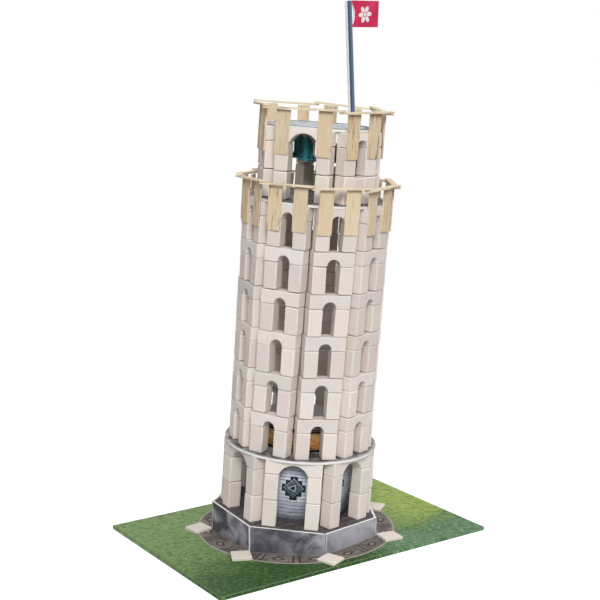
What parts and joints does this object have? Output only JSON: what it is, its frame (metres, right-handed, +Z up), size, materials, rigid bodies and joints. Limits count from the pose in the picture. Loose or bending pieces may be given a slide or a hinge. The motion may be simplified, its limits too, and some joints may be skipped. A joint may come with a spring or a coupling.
{
  "type": "miniature landmark model",
  "caption": "Leaning bell-tower kit model of small glued bricks on a printed baseboard, with an arcaded ground storey, galleries, fenced belfry, card bells and a flag.",
  "frame": {"origin": "centre of the baseboard's underside, on the surface that the model stands on", "axes": "+Z up; +X along the baseboard's long side; +Y across it, away from the long edge that the tower leans towards"},
  "size_m": [0.22, 0.15, 0.3679],
  "materials": {
    "grass_board": "matte",
    "tile": "matte",
    "plinth_card": "matte",
    "paved_card": "matte",
    "drum_card": "matte",
    "disc_card": "matte",
    "roof_card": "matte",
    "sleeve_card": "matte",
    "pillar_brick": "matte",
    "arch_brick": "matte",
    "pale_wood": "matte",
    "flag_card": "matte",
    "hook_wire": "satin",
    "bell_card": "matte"
  },
  "bodies": {
    "tower": {"baseboard": "grass_board", "paving_tiles": "tile", "plinth_wall": "plinth_card", "plinth_top": "paved_card", "core_drum": "drum_card", "ground_lower_pillars": "pillar_brick", "ground_upper_pillars": "pillar_brick", "ground_arches": "arch_brick", "first_disc": "disc_card", "inner_sleeve": "sleeve_card", "gallery_1_pillars": "pillar_brick", "gallery_1_arches": "arch_brick", "gallery_2_pillars": "pillar_brick", "gallery_2_arches": "arch_brick", "gallery_3_pillars": "pillar_brick", "gallery_3_arches": "arch_brick", "gallery_4_pillars": "pillar_brick", "gallery_4_arches": "arch_brick", "gallery_5_pillars": "pillar_brick", "gallery_5_arches": "arch_brick", "gallery_6_pillars": "pillar_brick", "gallery_6_arches": "arch_brick", "second_disc": "disc_card", "lower_fence_slats": "pale_wood", "lower_fence_battens": "pale_wood", "belfry_lower_pillars": "pillar_brick", "belfry_sills": "pillar_brick", "belfry_upper_pillars": "pillar_brick", "belfry_large_arches": "arch_brick", "belfry_small_arches": "arch_brick", "roof_disc": "roof_card", "upper_fence_slats": "pale_wood", "upper_fence_battens": "pale_wood", "flag_and_pole": "flag_card", "front_bell_hook": "hook_wire", "side_bell_hook": "hook_wire", "rear_bell_hook": "hook_wire"},
    "front_bell": {"front_bell": "bell_card"},
    "side_bell": {"side_bell": "bell_card"},
    "rear_bell": {"rear_bell": "bell_card"}
  },
  "joints": [
    {"name": "front_bell_swing", "type": "hinge", "parent": "tower", "child": "front_bell", "pos_m": [-0.00538, -0.01726, 0.28139], "axis": [-0.9756, -0.2172, 0.0306], "range_deg": [-18, 18]},
    {"name": "side_bell_swing", "type": "hinge", "parent": "tower", "child": "side_bell", "pos_m": [0.01444, -0.01524, 0.27944], "axis": [-0.9756, -0.2172, 0.0306], "range_deg": [-18, 18]},
    {"name": "rear_bell_swing", "type": "hinge", "parent": "tower", "child": "rear_bell", "pos_m": [0.00462, 0.00634, 0.28156], "axis": [-0.9756, -0.2172, 0.0306], "range_deg": [-18, 18]}
  ]
}
